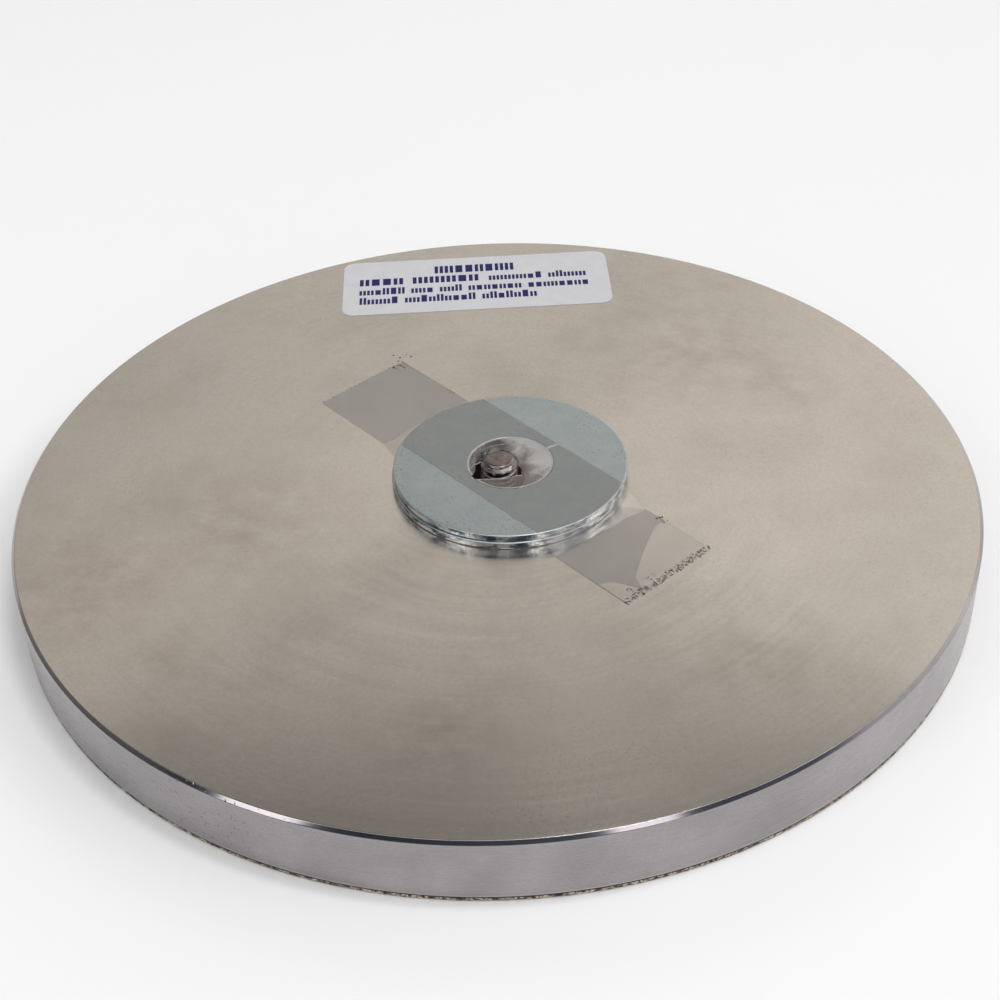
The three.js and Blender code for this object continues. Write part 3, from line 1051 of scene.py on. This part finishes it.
def make_tape():
    points, faces, zones = film_mesh()
    mesh = mesh_of("film", points, faces)
    looks = {
        "on_plate": film_look("film_on_plate", (0.26, 0.26, 0.26), 0.18, 0.32, 0.15),
        "on_steel": film_look("film_on_steel", (0.25, 0.235, 0.225), 0.2, 0.3, 0.1),
        "loose": film_look("film_loose", (0.47, 0.44, 0.41), 0.11, 0.1, 0.3),
        "tent": film_look("film_tented", (0.43, 0.415, 0.4), 0.13, 0.1, 0.4),
        "in_hole": film_in_hole_look(),
        # Painted highlight on the film's bends: a paler, more opaque film.
        "bend_highlight": film_look("film_bend_highlight", (0.62, 0.65, 0.66), 0.3, 0.14, 0.2),
        "edge": film_look("film_edge", (0.07, 0.065, 0.06), 0.3, 0.3, 0.2),
    }
    for look in looks.values():
        mesh.materials.append(look)
    order = list(looks)
    mesh.polygons.foreach_set("material_index", [order.index(zone) for zone in zones])
    tape = add_object("clear_tape", mesh, "tape", "holding_tape")
    if tape.data.polygons[0].normal.z < 0:
        tape.data.flip_normals()
    solid = tape.modifiers.new("thickness", "SOLIDIFY")
    solid.thickness = FILM_THICKNESS
    solid.offset = 1
    solid.material_offset_rim = order.index("edge")
    return tape


# Specks of grime caught at the tape's edges: the middle of each patch along and across the tape, how far it
# spreads each way, and how many specks it has.
GRIME = (
    (97.0, 7.5, 0.8, 7.5, 150),
    (96.9, 19.5, 0.8, 5.0, 80),
    (95.4, 4.2, 1.0, 1.2, 16),
    (95.6, 11.0, 1.0, 3.0, 14),
    (84.6, 24.2, 1.6, 0.9, 14),
    (1.6, 23.0, 2.2, 1.6, 26),
    (-1.5, 26.0, 2.0, 1.5, 6),
    (18.0, 24.4, 1.6, 0.3, 6),
)


def make_grime():
    chance = random.Random(11)
    points, faces = [], []
    for along, across, spread_along, spread_across, count in GRIME:
        for _ in range(count):
            shift_along = chance.uniform(-1, 1) * spread_along
            shift_across = chance.uniform(-1, 1) * spread_across
            middle = to_plan(along + shift_along, across + shift_across)
            size = chance.uniform(0.08, 0.36)
            stretch = chance.uniform(0.4, 1.0)
            turn = Matrix.Rotation(chance.uniform(0, math.tau), 2)
            outline = []
            for corner in range(7):
                angle = math.tau * corner / 7
                reach = size * chance.uniform(0.6, 1.2)
                spoke = Vector((reach * math.cos(angle), reach * stretch * math.sin(angle)))
                outline.append((middle + turn @ spoke) * MM)
            slab(points, faces, outline, WHEEL_TOP + 0.002 * MM, WHEEL_TOP + 0.012 * MM, 0.004 * MM)
    mesh = mesh_of("grime", points, faces)
    mesh.materials.append(residue_look())
    return add_object("tape_grime", mesh, "wheel")


# --- Stage


def make_camera():
    camera = bpy.data.objects.new("camera", bpy.data.cameras.new("camera"))
    bpy.context.scene.collection.objects.link(camera)
    camera.data.lens = CAMERA_LENS
    camera.data.sensor_width = 36
    camera.data.clip_start = 0.01
    back = Vector((0, -math.cos(CAMERA_ELEVATION), math.sin(CAMERA_ELEVATION)))
    tilt = Matrix.Rotation(math.pi / 2 - CAMERA_ELEVATION, 4, "X")
    roll = Matrix.Rotation(CAMERA_ROLL, 4, "Z")
    camera.matrix_world = Matrix.Translation(CAMERA_TARGET + back * CAMERA_DISTANCE) @ tilt @ roll
    bpy.context.scene.camera = camera


def make_floor():
    reach = 4
    corners = [(-reach, -reach, 0), (reach, -reach, 0), (reach, reach, 0), (-reach, reach, 0)]
    mesh = mesh_of("floor", corners, [(0, 1, 2, 3)])
    mesh.materials.append(floor_look())
    floor = bpy.data.objects.new("floor", mesh)
    bpy.context.scene.collection.objects.link(floor)


def make_light(name, place, target, width, height, power):
    """A soft box at a place, facing a target."""
    light = bpy.data.lights.new(name, "AREA")
    light.shape = "RECTANGLE"
    light.size, light.size_y = width, height
    light.energy = power
    box = bpy.data.objects.new(name, light)
    bpy.context.scene.collection.objects.link(box)
    box.location = place
    box.rotation_euler = (Vector(target) - Vector(place)).to_track_quat("-Z", "Y").to_euler()


def make_world():
    """A soft room, by direction: brightest high on both sides, and pale beyond the wheel up to half way
    overhead, with a window in its middle. The wheel's chamfer mirrors a dark gap behind the camera."""
    world = bpy.data.worlds.new("room")
    bpy.context.scene.world = world
    world.use_nodes = True
    room = Nodes(world.node_tree)
    x, y, z = room.split(room.add("TexCoord").outputs["Generated"])
    middle = room.math("MULTIPLY", room.span(x, -0.18, -0.04), room.span(x, 0.12, 0.26, 1, 0))
    window = room.math("MULTIPLY", middle, room.span(z, 0.59, 0.66))
    beyond = room.mix(window, (0.82, 0.79, 0.76, 1), (1.12, 1.08, 1.03, 1))
    beyond = room.mix(room.span(z, 0.706, 0.718), beyond, (0.02, 0.02, 0.025, 1))
    behind = room.mix(room.span(z, 0.4, 0.46), grey(0.5), (0.07, 0.08, 0.11, 1))
    behind = room.mix(room.span(z, 0.7, 0.75), behind, grey(1.6))
    color = room.mix(room.span(y, -0.1, 0.35), behind, beyond)
    aside = room.math("MULTIPLY", room.span(room.math("ABSOLUTE", x), 0.64, 0.7), room.span(z, 0.58, 0.62))
    sides = room.mix(room.span(x, -0.3, 0.3), grey(2.5), grey(3.4))
    color = room.mix(aside, color, sides)
    background = room.tree.nodes["Background"]
    room.put(background.inputs["Color"], color)
    room.put(background.inputs["Strength"], room.math("MULTIPLY_ADD", x, 0.6, 0.92))


def make_lights():
    middle = (0, 0, WHEEL_TOP)
    make_light("overhead", (0.22, 0.0, 1.2), middle, 0.12, 0.3, 2.6)
    make_light("left_front", (-0.78, -0.62, 0.67), middle, 0.3, 0.5, 1.2)
    make_light("right_front", (0.44, -0.82, 0.76), middle, 0.24, 0.5, 0.85)


bpy.context.scene.view_settings.view_transform = "Standard"
make_camera()
make_floor()
make_world()
make_lights()

make_plate()
make_bond_layer()
make_diamond_layer()
make_label()
make_print()
make_washer("spacer_lower", "spacer_washer_lower", "lower_washer", SPACER_HOLE_RADIUS, 256)
make_washer("spacer_upper", "spacer_washer_upper", "upper_washer", SPACER_HOLE_RADIUS, 256)
make_washer("washer_under_head", "bolt_washer", "bolt_seat", BOLT_WASHER_HOLE_RADIUS, 128)
make_bolt()
make_tape()
make_grime()
